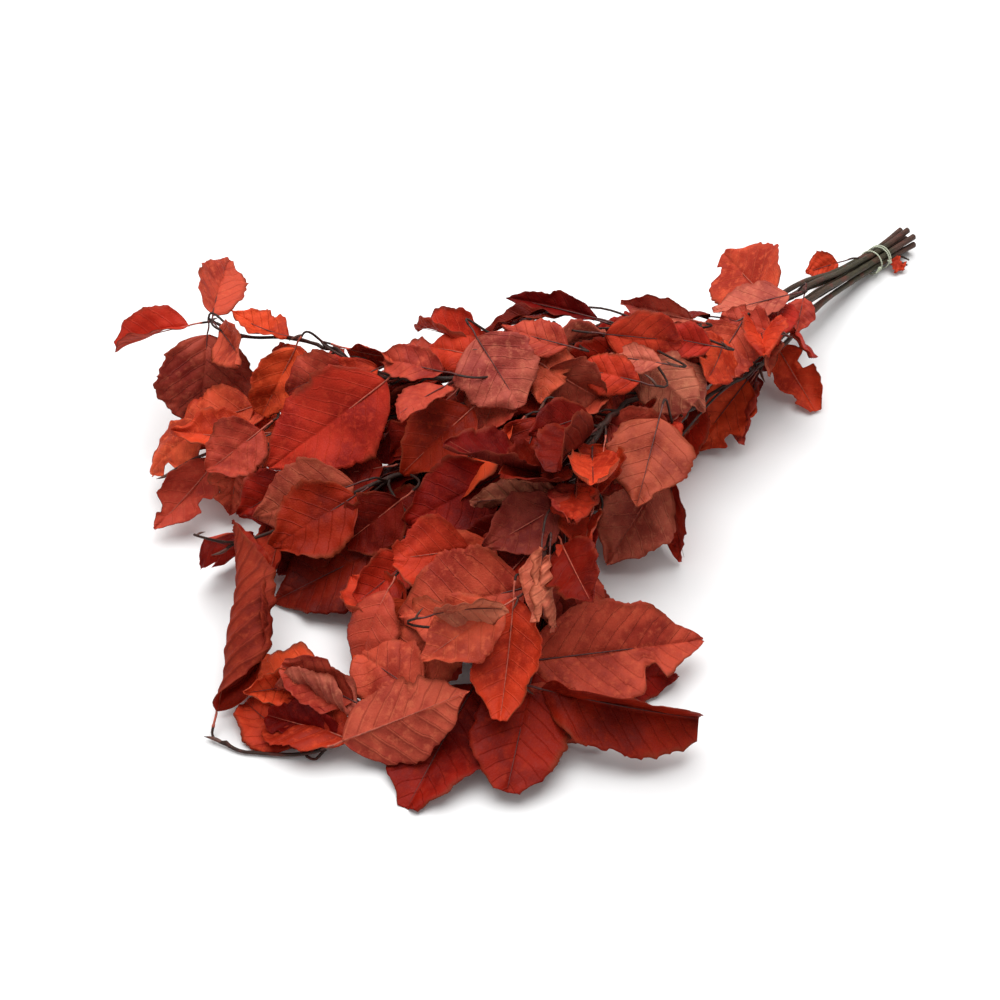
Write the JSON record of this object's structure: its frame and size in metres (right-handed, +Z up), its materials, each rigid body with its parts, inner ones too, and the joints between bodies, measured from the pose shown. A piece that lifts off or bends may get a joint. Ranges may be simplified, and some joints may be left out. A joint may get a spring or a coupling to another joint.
{
  "type": "tied bunch of beech branches with leaves",
  "caption": "Preserved red beech branches with leaves, tied near their cut ends with a thin cord and lying on their side, as for a vase or an arrangement.",
  "frame": {"origin": "centre of the underside of the bunch as it lies, on the surface that it rests on", "axes": "+X along the bunch towards the cut stem ends, +Y across it, +Z up"},
  "size_m": [0.6292, 0.4496, 0.1167],
  "materials": {
    "bark": "dark grey-brown bark, dry and matt",
    "cord": "pale green-white twisted cord, matt",
    "leaf_red": "deep red dyed leaf, satin with fine veins",
    "leaf_bright": "bright orange-red dyed leaf, satin with fine veins",
    "leaf_orange": "orange dyed leaf, lighter at its edges, satin with fine veins",
    "leaf_wine": "dark wine-red dyed leaf, satin with fine veins",
    "leaf_dark": "very dark red dyed leaf, satin with fine veins",
    "leaf_rose": "rose-red paler underside of a dyed leaf, satin with fine veins",
    "leaf_salmon": "salmon underside of a dyed leaf, satin with fine veins",
    "leaf_tan": "tan-pink faded leaf underside, satin with fine veins",
    "leaf_mauve": "dull mauve-red leaf, satin with fine veins"
  },
  "bodies": {
    "root": {"branch_1": "bark", "leaf_1_1": "leaf_red", "leaf_1_2": "leaf_wine", "leaf_1_3": "leaf_rose", "leaf_1_4": "leaf_red", "leaf_1_5": "leaf_rose", "leaf_1_6": "leaf_bright", "leaf_1_7": "leaf_red", "leaf_1_8": "leaf_bright", "leaf_1_9": "leaf_rose", "branch_2": "bark", "leaf_2_1": "leaf_orange", "leaf_2_2": "leaf_bright", "leaf_2_3": "leaf_orange", "leaf_2_4": "leaf_rose", "leaf_2_5": "leaf_orange", "branch_3": "bark", "leaf_3_1": "leaf_mauve", "leaf_3_2": "leaf_bright", "leaf_3_3": "leaf_dark", "leaf_3_4": "leaf_dark", "leaf_3_5": "leaf_dark", "leaf_3_6": "leaf_red", "branch_4": "bark", "leaf_4_1": "leaf_wine", "leaf_4_2": "leaf_red", "leaf_4_3": "leaf_salmon", "leaf_4_4": "leaf_salmon", "leaf_4_5": "leaf_bright", "leaf_4_6": "leaf_bright", "leaf_4_7": "leaf_rose", "branch_5": "bark", "leaf_5_1": "leaf_rose", "leaf_5_2": "leaf_orange", "leaf_5_3": "leaf_bright", "leaf_5_4": "leaf_wine", "leaf_5_5": "leaf_wine", "leaf_5_6": "leaf_mauve", "leaf_5_7": "leaf_tan", "leaf_5_8": "leaf_rose", "leaf_5_9": "leaf_bright", "branch_6": "bark", "leaf_6_1": "leaf_rose", "leaf_6_2": "leaf_wine", "leaf_6_3": "leaf_wine", "branch_7": "bark", "leaf_7_1": "leaf_rose", "leaf_7_2": "leaf_rose", "leaf_7_3": "leaf_bright", "leaf_7_4": "leaf_bright", "leaf_7_5": "leaf_orange", "branch_8": "bark", "leaf_8_1": "leaf_orange", "leaf_8_2": "leaf_salmon", "leaf_8_3": "leaf_tan", "leaf_8_4": "leaf_bright", "leaf_8_5": "leaf_dark", "leaf_8_6": "leaf_bright", "leaf_8_7": "leaf_salmon", "tie": "cord"}
  },
  "joints": []
}
